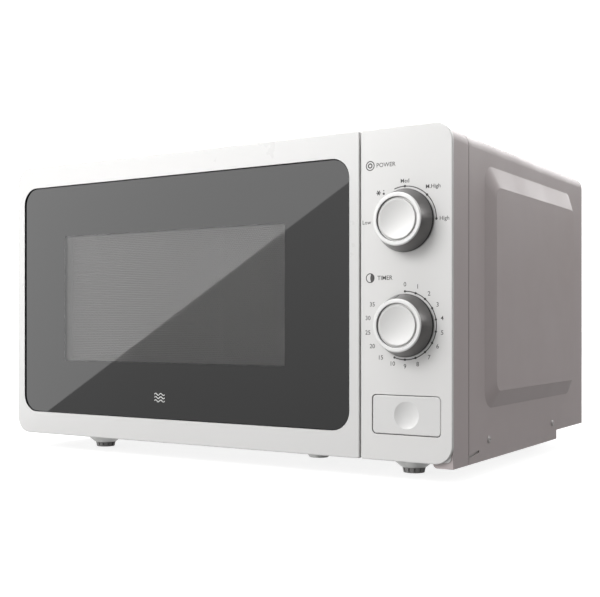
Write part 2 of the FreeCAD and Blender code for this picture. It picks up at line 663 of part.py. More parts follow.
def interlock_bracket():
    y0 = PLATE_Y + PLATE_T
    plate = box(118.5, 149, y0, y0 + 2, 36, 208)
    side = box(116.5, 118.5, y0, 76, 36, 208)
    post = box(146, 149, y0, 62, 36, 66)
    far = box(184.0, 187.0, y0, 62, 36, 66)
    bridge = box(149, 187, y0, y0 + 2, 36, 50)
    body = fuse(plate, side, post, far, bridge)
    for z in HOOK_ZS:
        body = body.cut(box(HOOK_L - 2.5, HOOK_R + 3, y0 - 1, y0 + 3, z - 2.0, z + 22))
    return body.cut(rod(110, LEVER_Y, LEVER_Z, (1, 0, 0), LEVER_R + RUNNING, 80))


def microswitches():
    """Three identical snap switches on the interlock bracket."""
    group = []
    for z in (70, 162, 186):
        body = box(118.5, 139, 56, 76, z, z + 12)
        plunger = rod(130, 57, z + 6, (0, -1, 0), 1.3, 4.5)
        tabs = [box(122 + 6 * i, 124 + 6 * i, 76, 83, z + 3, z + 9) for i in range(3)]
        group.append(fuse(body, plunger, *tabs))
    return Part.makeCompound(group)


# ---- high-voltage parts -----------------------------------------------------------
def magnetron():
    x0 = CAV_R + WALL + 18
    yoke = box(x0, x0 + 54, 120, 200, 100, 180).cut(box(x0 + 2, x0 + 52, 119, 201, 102, 178))
    core = rod(x0 + 1, 160, 140, (1, 0, 0), 17, 52)
    antenna = rod(x0 + 1, 160, 140, (-1, 0, 0), 7.5, 15)
    supply = box(x0 + 54, x0 + 76, 128, 192, 108, 172)
    plug = box(x0 + 60, x0 + 72, 192, 200, 134, 146)
    return fuse(yoke, core, antenna, supply, plug)


def magnetron_fins():
    """Seven thin cooling fins pressed on the magnetron's core."""
    x0 = CAV_R + WALL + 18
    fins = []
    for i in range(7):
        fin = box(x0 + 5 + 7 * i, x0 + 6 + 7 * i, 122, 198, 102, 178)
        fins.append(fin.cut(rod(x0, 160, 140, (1, 0, 0), 17, 60)))
    return Part.makeCompound(fins)


def thermal_cutout():
    x0 = CAV_R + WALL + 18
    base = box(x0 + 12, x0 + 40, 154, 166, 180, 181)
    disc = rod(x0 + 26, 160, 181, (0, 0, 1), 8, 7)
    tabs = [box(x0 + a, x0 + a + 2, 157, 163, 187, 193) for a in (20, 30)]
    return fuse(base, disc, *tabs)


def transformer():
    z0 = CASE_LOW + SHEET
    plate = box(122, 210, 96, 164, z0, z0 + 2)
    core = box(128, 204, 100, 160, z0 + 2, z0 + 60)
    coils = slab(140, 192, z0 + 12, z0 + 50, 10.0, 88, 172)
    tabs = [box(150 + 14 * i, 156 + 14 * i, 92, 97, z0 + 49, z0 + 58) for i in range(3)]
    body = fuse(plate, core, coils, *tabs)
    return body


def oval_can(half_x, half_y, x, y, z0, z1):
    can = box(x - half_x + half_y, x + half_x - half_y, y - half_y, y + half_y, z0, z1)
    return fuse(can, rod(x - half_x + half_y, y, z0, (0, 0, 1), half_y, z1 - z0),
                rod(x + half_x - half_y, y, z0, (0, 0, 1), half_y, z1 - z0))


def hv_capacitor():
    can = oval_can(26, 16, 154, 198, CASE_LOW + SHEET, 85)
    tabs = [box(x, x + 3, 194, 202, 85, 92) for x in (140, 165)]
    return fuse(can, *tabs)


def capacitor_clamp():
    band = oval_can(27.2, 17.2, 154, 198, 30, 42).cut(oval_can(26.1, 16.1, 154, 198, 29, 43))
    leg = box(181.0, 182.4, 190, 206, CASE_LOW + SHEET, 42)
    toe = box(181.0, 196, 190, 206, CASE_LOW + SHEET, CASE_LOW + SHEET + 1.4)
    return fuse(band, leg, toe)


def hv_diode():
    z0 = CASE_LOW + SHEET
    body = rod(203, 198, 34, (0, 0, 1), 3.5, 18)
    low_lead = rod(203, 198, z0, (0, 0, 1), 0.9, 22)
    high_lead = rod(203, 198, 51, (0, 0, 1), 0.9, 37.9)
    across = rod(203.9, 198, 88, (-1, 0, 0), 0.9, 35.9)
    return fuse(body, low_lead, high_lead, across)


def noise_filter_board():
    x0 = CAV_R + WALL
    board = box(x0 + 6, x0 + 7.6, 208, 246, 96, 186)
    legs = [rod(x0, y, z, (1, 0, 0), 2.5, 6) for y in (213, 241) for z in (101, 181)]
    choke = rod(x0 + 7.6, 227, 160, (1, 0, 0), 11, 14).cut(rod(x0 + 12, 227, 160, (1, 0, 0), 4, 14))
    film = box(x0 + 7.6, x0 + 24, 214, 240, 124, 140)
    clips = [box(x0 + 7.6, x0 + 12, 221, 233, z, z + 3) for z in (100, 117)]
    return fuse(board, choke, film, *(legs + clips))


def fuse_link():
    x0 = CAV_R + WALL
    return rod(x0 + 15.2, 227, 97, (0, 0, 1), 3.2, 26)


# ---- fan ----------------------------------------------------------------------------
FAN_X = 165.0
FAN_Z = 190.0


def fan_shroud():
    ring = rod(FAN_X, 263, FAN_Z, (0, 1, 0), 46, CASE_BACK - SHEET - 263)
    ring = ring.cut(rod(FAN_X, 262, FAN_Z, (0, 1, 0), 43.5, 60))
    arms = [box(FAN_X - 45, FAN_X + 45, 261, 264, FAN_Z - 3, FAN_Z + 3),
            box(FAN_X - 3, FAN_X + 3, 261, 264, FAN_Z - 45, FAN_Z + 45),
            rod(FAN_X, 261, FAN_Z, (0, 1, 0), 16, 3)]
    return fuse(ring, *arms).cut(rod(FAN_X, 258, FAN_Z, (0, 1, 0), 6, 8))


def fan_motor():
    stack = box(FAN_X - 24, FAN_X + 24, 238, 256, FAN_Z - 20, FAN_Z + 24)
    coil = box(FAN_X - 14, FAN_X + 14, 234, 260, FAN_Z - 34, FAN_Z - 18)
    nose = rod(FAN_X, 255, FAN_Z, (0, 1, 0), 12, 6)
    return fuse(stack, coil, nose).cut(rod(FAN_X, 242, FAN_Z, (0, 1, 0), 2.0 + RUNNING, 30))


def fan_blade():
    hub = rod(FAN_X, 268, FAN_Z, (0, 1, 0), 10, 20)
    shaft = rod(FAN_X, 243, FAN_Z, (0, 1, 0), 2.0, 26)
    blades = []
    for i in range(5):
        blade = box(FAN_X - 12, FAN_X + 12, 277.2, 278.8, FAN_Z + 7, FAN_Z + 40)
        blade.rotate(V(FAN_X, 278, FAN_Z), V(0, 0, 1), 32)
        blade.rotate(V(FAN_X, 278, FAN_Z), V(0, 1, 0), 72.0 * i)
        blades.append(blade)
    return fuse(hub, shaft, *blades)


# ---- write every piece ----------------------------------------------------------------
save("outer_case", outer_case())
save("case_screws", case_screws())
save("base_plate", base_plate())
save("front_feet", feet(FRONT_FOOT_Y, CASE_LOW - 7.0))
save("rear_feet", feet(REAR_FOOT_Y, CASE_LOW + NOTCH_RISE))
save("rear_panel", rear_panel())
save("rear_spacers", rear_spacers())
save("cord_gland", cord_gland())

save("front_plate", front_plate())
save("cavity_wrapper", cavity_wrapper())
save("cavity_floor", cavity_floor())
save("cavity_back", cavity_back())
save("waveguide", waveguide())
save("waveguide_cover", waveguide_cover())
save("lamp_holder", lamp_holder())
save("lamp_bulb", lamp_bulb())

save("turntable_motor", turntable_motor())
save("turntable_coupler", turntable_coupler())
save("glass_tray", glass_tray())
save("roller_ring", roller_ring())
for index, angle in enumerate((90, 210, 330)):
    save("roller_wheel_%d" % (index + 1), roller_wheel(angle))

save("door_frame", door_frame())
save("door_glass", door_glass())
save("door_inner_frame", door_inner_frame())
save("door_screen", door_screen())
save("door_choke_cover", door_choke_cover())
save("door_inner_film", door_inner_film())
save("door_hook", door_hook())
save("hook_spring", hook_spring())
save("hinge_lower", hinge_bracket(23.2, 24.2, 23.2))
save("hinge_upper", hinge_bracket(249.2, 238.2, 225.2))
save("hinge_screws", hinge_screws())

save("control_panel", control_panel())
save("power_knob", knob(POWER_Z))
save("power_knob_insert", knob_insert(POWER_Z))
save("power_shaft", dial_shaft(POWER_Z, 18))
save("power_switch", power_switch())
save("timer_knob", knob(TIMER_Z))
save("timer_knob_insert", knob_insert(TIMER_Z))
save("timer_shaft", dial_shaft(TIMER_Z, 22))
save("timer_unit", timer_unit())
save("release_button", release_button())
save("button_spring", button_spring())
save("button_lever", button_lever())
save("interlock_bracket", interlock_bracket())
save("microswitches", microswitches())

save("magnetron", magnetron())
save("magnetron_fins", magnetron_fins())
save("thermal_cutout", thermal_cutout())
save("transformer", transformer())
save("hv_capacitor", hv_capacitor())
save("capacitor_clamp", capacitor_clamp())
save("hv_diode", hv_diode())
save("noise_filter_board", noise_filter_board())
save("line_fuse", fuse_link())
save("fan_shroud", fan_shroud())
save("fan_motor", fan_motor())
save("fan_blade", fan_blade())
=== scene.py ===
import bpy
import math
from mathutils import Matrix, Vector


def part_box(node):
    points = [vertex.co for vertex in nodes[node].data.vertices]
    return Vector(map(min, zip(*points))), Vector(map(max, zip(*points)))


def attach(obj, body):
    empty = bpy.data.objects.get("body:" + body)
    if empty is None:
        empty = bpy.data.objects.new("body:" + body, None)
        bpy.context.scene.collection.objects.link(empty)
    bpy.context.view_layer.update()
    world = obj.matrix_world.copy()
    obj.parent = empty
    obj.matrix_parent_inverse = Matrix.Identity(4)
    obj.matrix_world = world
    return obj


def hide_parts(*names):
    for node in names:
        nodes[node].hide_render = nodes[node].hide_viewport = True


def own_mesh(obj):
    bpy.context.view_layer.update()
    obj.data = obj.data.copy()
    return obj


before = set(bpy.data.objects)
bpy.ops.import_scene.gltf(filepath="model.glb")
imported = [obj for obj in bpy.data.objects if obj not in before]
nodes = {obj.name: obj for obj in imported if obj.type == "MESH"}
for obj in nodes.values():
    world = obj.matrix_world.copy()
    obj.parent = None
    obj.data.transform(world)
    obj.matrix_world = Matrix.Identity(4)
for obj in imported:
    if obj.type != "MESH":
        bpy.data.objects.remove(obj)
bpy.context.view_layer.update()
scene = bpy.context.scene

MM = 0.001
MIX_FIRST, MIX_SECOND, MIX_RESULT = 6, 7, 2  # the Mix node's colour sockets
FACE_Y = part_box("control_panel")[0][1]


def P(x, depth, z):
    """A point from millimetres: x from the middle, depth behind the front face, z above the floor."""
    return Vector((x * MM, FACE_Y + depth * MM, z * MM))


# ---------------------------------------------------------------- materials
def put(socket, value):
    socket.default_value = value


class Shader:
    """A Principled material whose colour, roughness and relief vary over the surface."""

    def __init__(self, name, colour, rough=0.4, metal=0.0):
        self.mat = bpy.data.materials.new(name)
        self.mat.use_nodes = True
        self.tree = self.mat.node_tree
        self.bsdf = self.tree.nodes["Principled BSDF"]
        self.colour = colour
        put(self.bsdf.inputs["Metallic"], metal)
        put(self.bsdf.inputs["Roughness"], rough)
        put(self.bsdf.inputs["Base Color"], (*colour, 1))
        self.rough = rough
        coord = self.new("ShaderNodeTexCoord")
        self.coord = coord.outputs["Object"]

    def new(self, kind, **settings):
        node = self.tree.nodes.new(kind)
        for key, value in settings.items():
            setattr(node, key, value)
        return node

    def link(self, a, b):
        self.tree.links.new(a, b)

    def set(self, **values):
        for key, value in values.items():
            put(self.bsdf.inputs[key.replace("_", " ")], value)
        return self

    def noise(self, scale, detail=3.0, stretch=None):
        node = self.new("ShaderNodeTexNoise")
        put(node.inputs["Scale"], scale)
        put(node.inputs["Detail"], detail)
        put(node.inputs["Roughness"], 0.55)
        if stretch:
            mapping = self.new("ShaderNodeMapping")
            put(mapping.inputs["Scale"], stretch)
            self.link(self.coord, mapping.inputs["Vector"])
            self.link(mapping.outputs["Vector"], node.inputs["Vector"])
        else:
            self.link(self.coord, node.inputs["Vector"])
        return node.outputs["Fac"]

    def span(self, fac, low, high, out_low, out_high):
        node = self.new("ShaderNodeMapRange")
        put(node.inputs["From Min"], low)
        put(node.inputs["From Max"], high)
        put(node.inputs["To Min"], out_low)
        put(node.inputs["To Max"], out_high)
        self.link(fac, node.inputs["Value"])
        return node.outputs["Result"]

    def ramp(self, fac, stops):
        node = self.new("ShaderNodeValToRGB")
        elements = node.color_ramp.elements
        while len(elements) < len(stops):
            elements.new(0.5)
        for element, (place, colour) in zip(elements, stops):
            element.position = place
            element.color = (*colour, 1)
        self.link(fac, node.inputs["Fac"])
        return node.outputs["Color"]

    def vary(self, amount=0.04, scale=9.0, tint=(1.0, 1.0, 1.0)):
        dark = tuple(c * (1 - amount) * t for c, t in zip(self.colour, tint))
        light = tuple(min(1.0, c * (1 + amount)) for c in self.colour)
        colour = self.ramp(self.noise(scale, 4.0), [(0.3, dark), (0.5, self.colour), (0.72, light)])
        self.link(colour, self.bsdf.inputs["Base Color"])
        return self

    def worn(self, amount=0.06, scale=35.0, stretch=None):
        fac = self.noise(scale, 5.0, stretch)
        rough = self.span(fac, 0.3, 0.7, max(0.02, self.rough - amount), self.rough + amount)
        self.link(rough, self.bsdf.inputs["Roughness"])
        return self

    def relief(self, scale=900.0, strength=0.12, distance=0.00004, stretch=None, bevel=0.0):
        bump = self.new("ShaderNodeBump")
        put(bump.inputs["Strength"], strength)
        put(bump.inputs["Distance"], distance)
        self.link(self.noise(scale, 2.0, stretch), bump.inputs["Height"])
        if bevel > 0:
            edge = self.new("ShaderNodeBevel", samples=3)
            put(edge.inputs["Radius"], bevel)
            self.link(edge.outputs["Normal"], bump.inputs["Normal"])
        self.link(bump.outputs["Normal"], self.bsdf.inputs["Normal"])
        return self


def moulded(name, colour, rough=0.35, **more):
    shader = Shader(name, colour, rough).vary(0.012, 7.0).worn(0.03, 40.0)
    return shader.relief(1400.0, 0.10, 0.00003, bevel=0.0005).set(**more)


def plated(name, colour, rough=0.32, stretch=(1, 1, 14), bevel=0.0003):
    shader = Shader(name, colour, rough, 1.0).vary(0.06, 18.0).worn(0.10, 60.0, stretch)
    return shader.relief(700.0, 0.15, 0.00003, stretch, bevel)


def depth_switch(shader, depth):
    """One in front of a depth behind the panel's face, nought behind it."""
    place = shader.new("ShaderNodeSeparateXYZ")
    shader.link(shader.coord, place.inputs["Vector"])
    edge = FACE_Y + depth * MM
    return shader.span(place.outputs["Y"], edge - 0.00005, edge + 0.00005, 1.0, 0.0)


def dial_radius_below(shader, limit):
    """One within a radius of either dial's axis, nought outside it."""
    boxes = [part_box("power_knob"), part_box("timer_knob")]
    heights = [(low[2] + high[2]) / 2 for low, high in boxes]
    middle = (heights[0] + heights[1]) / 2
    place = shader.new("ShaderNodeSeparateXYZ")
    shader.link(shader.coord, place.inputs["Vector"])

    def step(operation, value, *others):
        node = shader.new("ShaderNodeMath", operation=operation)
        shader.link(value, node.inputs[0])
        for index, other in enumerate(others):
            if isinstance(other, float):
                put(node.inputs[index + 1], other)
            else:
                shader.link(other, node.inputs[index + 1])
        return node.outputs["Value"]

    sideways = step("SUBTRACT", place.outputs["X"], (boxes[0][0][0] + boxes[0][1][0]) / 2)
    folded = step("SUBTRACT", step("ABSOLUTE", step("SUBTRACT", place.outputs["Z"], middle)),
                  abs(heights[0] - heights[1]) / 2)
    total = step("ADD", step("MULTIPLY", sideways, sideways), step("MULTIPLY", folded, folded))
    return shader.span(step("SQRT", total), (limit - 0.05) * MM, (limit + 0.05) * MM, 1.0, 0.0)


def mixed(shader, fac, behind, front):
    """The colour behind where the factor is nought, the colour in front where it is one."""
    node = shader.new("ShaderNodeMix", data_type="RGBA")
    shader.link(fac, node.inputs["Factor"])
    shader.link(behind, node.inputs[MIX_FIRST])
    shader.link(front, node.inputs[MIX_SECOND])
    return node.outputs[MIX_RESULT]


def product(shader, first, second):
    node = shader.new("ShaderNodeMath", operation="MULTIPLY")
    shader.link(first, node.inputs[0])
    shader.link(second, node.inputs[1])
    return node.outputs["Value"]


def inside(shader, value, low, high):
    """One where a coordinate lies between two limits, else nought."""
    middle = (low + high) / 2 * MM
    half = (high - low) / 2 * MM
    node = shader.new("ShaderNodeMath", operation="COMPARE")
    put(node.inputs[1], middle)
    put(node.inputs[2], half)
    shader.link(value, node.inputs[0])
    return node.outputs["Value"]


def within_field(shader, x0, x1, z0, z1):
    """One inside an upright rectangle of the front, nought outside it."""
    place = shader.new("ShaderNodeSeparateXYZ")
    shader.link(shader.coord, place.inputs["Vector"])
    across = inside(shader, place.outputs["X"], x0, x1)
    upward = inside(shader, place.outputs["Z"], z0, z1)
    return product(shader, across, upward)


# white plastics
white_door = moulded("door_white_plastic", (0.628, 0.623, 0.615), 0.30,
                     Coat_Weight=0.25, Coat_Roughness=0.12)
white_panel = moulded("panel_white_plastic", (0.662, 0.655, 0.645), 0.32,
                      Coat_Weight=0.2, Coat_Roughness=0.15)
button_white = moulded("button_white_plastic", (0.64, 0.635, 0.627), 0.30,
                       Coat_Weight=0.25, Coat_Roughness=0.12)

# the walls of the pocket that holds the glass are painted near-black: painted shade for the shadow inside
# the recess around the glass
POCKET = (-211.6, 136.6, 33.9, 241.1)
POCKET_DEPTH = 0.45
behind_face = white_door.span(depth_switch(white_door, POCKET_DEPTH), 0.0, 1.0, 1.0, 0.0)
sunk = product(white_door, within_field(white_door, *POCKET), behind_face)
# painted shade: near-black colour on the pocket's shadowed walls
pocket_painted_shade = white_door.ramp(white_door.noise(30.0),
                         [(0.3, (0.014, 0.014, 0.014)), (0.7, (0.018, 0.018, 0.018))])
paint = white_door.bsdf.inputs["Base Color"].links[0].from_socket
white_door.link(mixed(white_door, sunk, paint, pocket_painted_shade), white_door.bsdf.inputs["Base Color"])

# coat of the case, a darker grey than the white front: partly the coat's own colour, partly painted shade
# for the case's sides that lie in shadow
case_coat_shaded = Shader("case_coat_with_painted_shade", (0.457, 0.406, 0.404), 0.42)
case_coat_shaded.vary(0.035, 5.0, (1.0, 0.99, 0.98)).worn(0.07, 22.0)
case_coat_shaded.relief(1100.0, 0.22, 0.00006, bevel=0.0006)
case_coat_shaded.set(Coat_Weight=0.05, Coat_Roughness=0.3, Specular_IOR_Level=0.3)

# dials: a near-black painted shadow on the foot for the dark gap at the dial's base, a dark grey painted
# shade on the wall for its side in shadow, and the pale silver rim in front
RIM_DEPTH = 0.75
FOOT_DEPTH = -2.3
DISC_EDGE_R = 14.85
KNOB_FRONT = (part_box("power_knob")[0][1] - FACE_Y) / MM
silver = Shader("dial_silver_ring_and_wall", (0.70, 0.695, 0.685), 0.28, 0.15)
silver.relief(2200.0, 0.10, 0.00002, bevel=0.0003).set(Coat_Weight=0.1, Coat_Roughness=0.2)
in_front = depth_switch(silver, KNOB_FRONT + RIM_DEPTH)
above_foot = depth_switch(silver, FOOT_DEPTH)
grain = silver.noise(24.0, 3.0)
# painted shadow: the foot near-black for the gap at the dial's base
foot_painted_shadow = silver.ramp(grain, [(0.3, (0.012, 0.012, 0.012)), (0.7, (0.016, 0.016, 0.016))])
# painted shade: the wall a dark grey copy of the rim's pale silver
wall = silver.ramp(grain, [(0.3, (0.155, 0.150, 0.148)), (0.7, (0.170, 0.165, 0.163))])
rim = silver.ramp(grain, [(0.3, (0.72, 0.715, 0.705)), (0.7, (0.745, 0.74, 0.73))])
outside = mixed(silver, above_foot, foot_painted_shadow, wall)
silver.link(mixed(silver, in_front, outside, rim), silver.bsdf.inputs["Base Color"])
silver.link(silver.span(in_front, 0.0, 1.0, 0.6, 0.15), silver.bsdf.inputs["Metallic"])
silver.link(silver.span(silver.noise(90.0, 5.0), 0.3, 0.7, 0.27, 0.36), silver.bsdf.inputs["Roughness"])

disc = Shader("dial_disc_satin", (0.70, 0.695, 0.685), 0.42, 0.1)
disc.worn(0.04, 120.0).relief(2600.0, 0.10, 0.00002, bevel=0.0003)
dish = disc.ramp(disc.noise(30.0, 3.0), [(0.3, (0.62, 0.615, 0.605)), (0.7, (0.635, 0.63, 0.62))])
# painted shade: the ring around the dish, with its groove, a little darker than the dish
channel_painted_shade = disc.ramp(disc.noise(30.0, 3.0), [(0.3, (0.60, 0.595, 0.585)), (0.7, (0.62, 0.615, 0.605))])
disc.link(mixed(disc, dial_radius_below(disc, DISC_EDGE_R), channel_painted_shade, dish), disc.bsdf.inputs["Base Color"])

# cavity, metal and inner plastics
enamel = Shader("cavity_enamel", (0.62, 0.63, 0.63), 0.32).vary(0.02, 11.0).worn(0.03, 30.0)
enamel.relief(800.0, 0.12, 0.00004, bevel=0.0005)
painted_steel = moulded("painted_screw_heads", (0.50, 0.47, 0.465), 0.35)
zinc = plated("zinc_plated_sheet", (0.58, 0.58, 0.57), 0.38)
spangle = Shader("galvanised_base", (0.50, 0.50, 0.49), 0.42, 0.85).vary(0.12, 55.0).worn(0.12, 70.0)
spangle.relief(500.0, 0.18, 0.00004, bevel=0.0004)
crystals = spangle.new("ShaderNodeTexVoronoi")
put(crystals.inputs["Scale"], 150.0)
spangle.link(spangle.coord, crystals.inputs["Vector"])
flakes = spangle.ramp(crystals.outputs["Color"], [(0.25, (0.43, 0.43, 0.42)), (0.75, (0.55, 0.55, 0.54))])
spangle.link(flakes, spangle.bsdf.inputs["Base Color"])
steel = plated("bright_steel", (0.62, 0.62, 0.62), 0.22, (1, 1, 1))
aluminium = plated("cast_aluminium", (0.72, 0.73, 0.74), 0.35, (1, 1, 1))
grey_plastic = moulded("grey_plastic", (0.33, 0.33, 0.33), 0.48)
roller_plastic = moulded("roller_plastic", (0.62, 0.62, 0.60), 0.42)
black_plastic = moulded("black_plastic", (0.028, 0.028, 0.03), 0.42)
white_nylon = moulded("white_nylon", (0.78, 0.77, 0.73), 0.42)
foot_grey = moulded("foot_grey_rubber", (0.30, 0.295, 0.29), 0.62)
dark_paint = Shader("choke_dark_paint", (0.075, 0.075, 0.078), 0.45).vary(0.12, 25.0).worn(0.08, 45.0)
dark_paint.relief(900.0, 0.18, 0.00004, bevel=0.0003)
mica = Shader("mica_sheet", (0.55, 0.50, 0.40), 0.38).vary(0.16, 60.0).worn(0.12, 80.0)
mica.relief(300.0, 0.25, 0.00005)
lamination = Shader("varnished_laminations", (0.16, 0.10, 0.06), 0.38, 0.3).vary(0.2, 30.0)
lamination.worn(0.1, 50.0).relief(90.0, 0.5, 0.0002, (1, 14, 1), 0.0003)
board_green = Shader("filter_board", (0.09, 0.13, 0.05), 0.42).vary(0.15, 70.0).worn(0.1, 60.0)
board_green.relief(600.0, 0.2, 0.00005)
glazed = moulded("glazed_ceramic", (0.82, 0.79, 0.72), 0.18)

# door glass: printed black outside the window, tinted and clear inside it
WX0, WX1, WZ0, WZ1 = -160.0, 77.0, 82.5, 194.0
PRINT_GAP = 0.5
door_pane = Shader("door_tinted_glass", (0.42, 0.42, 0.435), 0.03)
door_pane.set(IOR=1.52, Specular_IOR_Level=0.5)
rough_glass = door_pane.span(door_pane.noise(30.0, 4.0), 0.35, 0.75, 0.012, 0.035)
door_pane.link(rough_glass, door_pane.bsdf.inputs["Roughness"])
window = within_field(door_pane, WX0 - PRINT_GAP, WX1 + PRINT_GAP, WZ0 - PRINT_GAP, WZ1 + PRINT_GAP)
door_pane.link(window, door_pane.bsdf.inputs["Transmission Weight"])
tone = door_pane.noise(6.0, 3.0)
backing = door_pane.ramp(tone, [(0.3, (0.008, 0.008, 0.008)), (0.7, (0.010, 0.010, 0.010))])
clear = door_pane.ramp(tone, [(0.3, (0.415, 0.41, 0.405)), (0.7, (0.435, 0.43, 0.425))])
door_pane.link(mixed(door_pane, window, backing, clear), door_pane.bsdf.inputs["Base Color"])

clear_glass = Shader("tray_clear_glass", (0.90, 0.95, 0.94), 0.03)
clear_glass.vary(0.02, 10.0).worn(0.02, 30.0).relief(14.0, 0.12, 0.0002)
clear_glass.set(Transmission_Weight=1.0, IOR=1.5)
film = Shader("inner_film", (0.80, 0.81, 0.83), 0.12).vary(0.03, 12.0).worn(0.05, 30.0)
film.relief(40.0, 0.08, 0.00005).set(Transmission_Weight=0.95, IOR=1.1)

print_black = Shader("glass_back_print", (0.012, 0.012, 0.013), 0.35).vary(0.2, 14.0).worn(0.05, 30.0)
print_grey = Shader("dial_print_ink", (0.055, 0.052, 0.050), 0.5).vary(0.12, 60.0).worn(0.08, 80.0)
print_light = Shader("glass_front_print", (0.62, 0.62, 0.61), 0.45).vary(0.05, 60.0).worn(0.08, 80.0)
screen_paint = Shader("screen_black_steel", (0.225, 0.222, 0.218), 0.45, 0.2).vary(0.08, 30.0)
screen_paint.worn(0.08, 60.0).relief(900.0, 0.2, 0.00003)

LOOKS = {
    "outer_case": case_coat_shaded, "case_screws": painted_steel, "base_plate": spangle, "front_feet": foot_grey,
    "rear_feet": foot_grey, "rear_panel": spangle, "rear_spacers": grey_plastic, "cord_gland": black_plastic,
    "front_plate": enamel, "cavity_wrapper": enamel, "cavity_floor": enamel, "cavity_back": enamel,
    "waveguide": zinc, "waveguide_cover": mica, "lamp_holder": grey_plastic, "lamp_bulb": clear_glass,
    "turntable_motor": zinc, "turntable_coupler": roller_plastic, "glass_tray": clear_glass,
    "roller_ring": roller_plastic, "roller_wheel_1": roller_plastic, "roller_wheel_2": roller_plastic,
    "roller_wheel_3": roller_plastic, "door_frame": white_door, "door_glass": door_pane,
    "door_inner_frame": dark_paint, "door_screen": screen_paint, "door_choke_cover": black_plastic,
    "door_inner_film": film, "door_hook": white_nylon, "hook_spring": steel, "hinge_lower": zinc,
    "hinge_upper": zinc, "hinge_screws": steel, "control_panel": white_panel, "power_knob": silver,
    "power_knob_insert": disc, "power_shaft": steel, "power_switch": black_plastic, "timer_knob": silver,
    "timer_knob_insert": disc, "timer_shaft": steel, "timer_unit": zinc, "release_button": button_white,
    "button_spring": steel, "button_lever": grey_plastic, "interlock_bracket": white_nylon,
    "microswitches": black_plastic, "magnetron": aluminium, "thermal_cutout": glazed,
    "transformer": lamination, "hv_capacitor": aluminium, "capacitor_clamp": zinc, "hv_diode": black_plastic,
    "noise_filter_board": board_green, "line_fuse": glazed, "fan_shroud": black_plastic,
    "fan_motor": lamination, "fan_blade": white_nylon,
}


def dress(obj, shader):
    obj.data.materials.clear()
    obj.data.materials.append(shader.mat)


for name, shader in LOOKS.items():
    dress(nodes[name], shader)


# ---------------------------------------------------------------- mesh helpers
class Sheet:
    """Collects flat faces that face the front at one depth."""

    def __init__(self, depth):
        self.depth = depth
        self.points = []
        self.faces = []

    def quad(self, corners):
        first = len(self.points)
        self.points += [P(x, self.depth, z) for x, z in corners]
        self.faces.append(tuple(range(first, first + len(corners))))

    def arc(self, cx, cz, radius, width, start, end, steps=64):
        """A band along a circle; angles in degrees clockwise from the top."""
        for i in range(steps):
            corners = []
            for angle, r in ((i, -1), (i + 1, -1), (i + 1, 1), (i, 1)):
                turn = math.radians(start + (end - start) * angle / steps)
                reach = radius + r * width / 2
                corners.append((cx + reach * math.sin(turn), cz + reach * math.cos(turn)))
            self.quad(corners)

    def dot(self, cx, cz, radius, steps=14):
        turns = [2 * math.pi * i / steps for i in range(steps)]
        self.quad([(cx + radius * math.cos(t), cz + radius * math.sin(t)) for t in turns])

    def line(self, x0, z0, x1, z1, width):
        along = Vector((x1 - x0, z1 - z0)).normalized()
        side = Vector((-along.y, along.x)) * width / 2
        self.quad([(x0 - side.x, z0 - side.y), (x1 - side.x, z1 - side.y),
                   (x1 + side.x, z1 + side.y), (x0 + side.x, z0 + side.y)])

    def build(self, name, shader, body):
        mesh = bpy.data.meshes.new(name)
        mesh.from_pydata(self.points, [], self.faces)
        mesh.update()
        obj = bpy.data.objects.new(name, mesh)
        scene.collection.objects.link(obj)
        dress(obj, shader)
        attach(obj, body)
        return obj


def lettering(sheet, text, cx, cz, height, bold=0.035):
    """Adds generic dial lettering, centred on a point, to a sheet."""
    curve = bpy.data.curves.new("letters", "FONT")
    curve.body = text
    curve.align_x = "CENTER"
    curve.align_y = "CENTER"
    curve.size = height * 1.38
    curve.resolution_u = 3
    curve.offset = bold
    obj = bpy.data.objects.new("letters", curve)
    scene.collection.objects.link(obj)
    bpy.context.view_layer.update()
    mesh = bpy.data.meshes.new_from_object(obj)
    for face in mesh.polygons:
        corners = [mesh.vertices[i].co for i in face.vertices]
        sheet.quad([(cx + c.x, cz + c.y) for c in corners])
    bpy.data.objects.remove(obj)
    bpy.data.meshes.remove(mesh)


# ---------------------------------------------------------------- printed scales
knob_lo, knob_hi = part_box("power_knob")
KNOB_X = (knob_lo[0] + knob_hi[0]) / 2 / MM
POWER_Z = (knob_lo[2] + knob_hi[2]) / 2 / MM
knob_lo, knob_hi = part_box("timer_knob")
TIMER_Z = (knob_lo[2] + knob_hi[2]) / 2 / MM
SCALE_R, SCALE_WIDTH = 24.95, 0.75
ink = Sheet(-0.04)


def label(text, cz, angle, radius, height):
    turn = math.radians(angle)
    lettering(ink, text, KNOB_X + radius * math.sin(turn), cz + radius * math.cos(turn), height)


ink.arc(KNOB_X, POWER_Z, SCALE_R, SCALE_WIDTH, -20, 90, 60)
for angle in (0, 45, 90):
    turn = math.radians(angle)
    ink.dot(KNOB_X + SCALE_R * math.sin(turn), POWER_Z + SCALE_R * math.cos(turn), 0.95)
label("Low", POWER_Z, -90, 31.6, 3.0)
label("Med", POWER_Z, 0, 28.8, 3.0)
label("High", POWER_Z, 90, 31.2, 3.0)
lettering(ink, "M.High", KNOB_X + 22.4, POWER_Z + 23.4, 3.0)

# thawing mark beside the second power position
mark_x = KNOB_X - 21.6
mark_z = POWER_Z + 21.4
for i in range(3):
    turn = math.radians(60 * i)
    ink.line(mark_x - 1.9 * math.cos(turn), mark_z - 1.9 * math.sin(turn),
             mark_x + 1.9 * math.cos(turn), mark_z + 1.9 * math.sin(turn), 0.75)
ink.dot(mark_x + 4.3, mark_z - 0.8, 0.9)
ink.dot(mark_x + 4.3, mark_z + 1.4, 0.5)

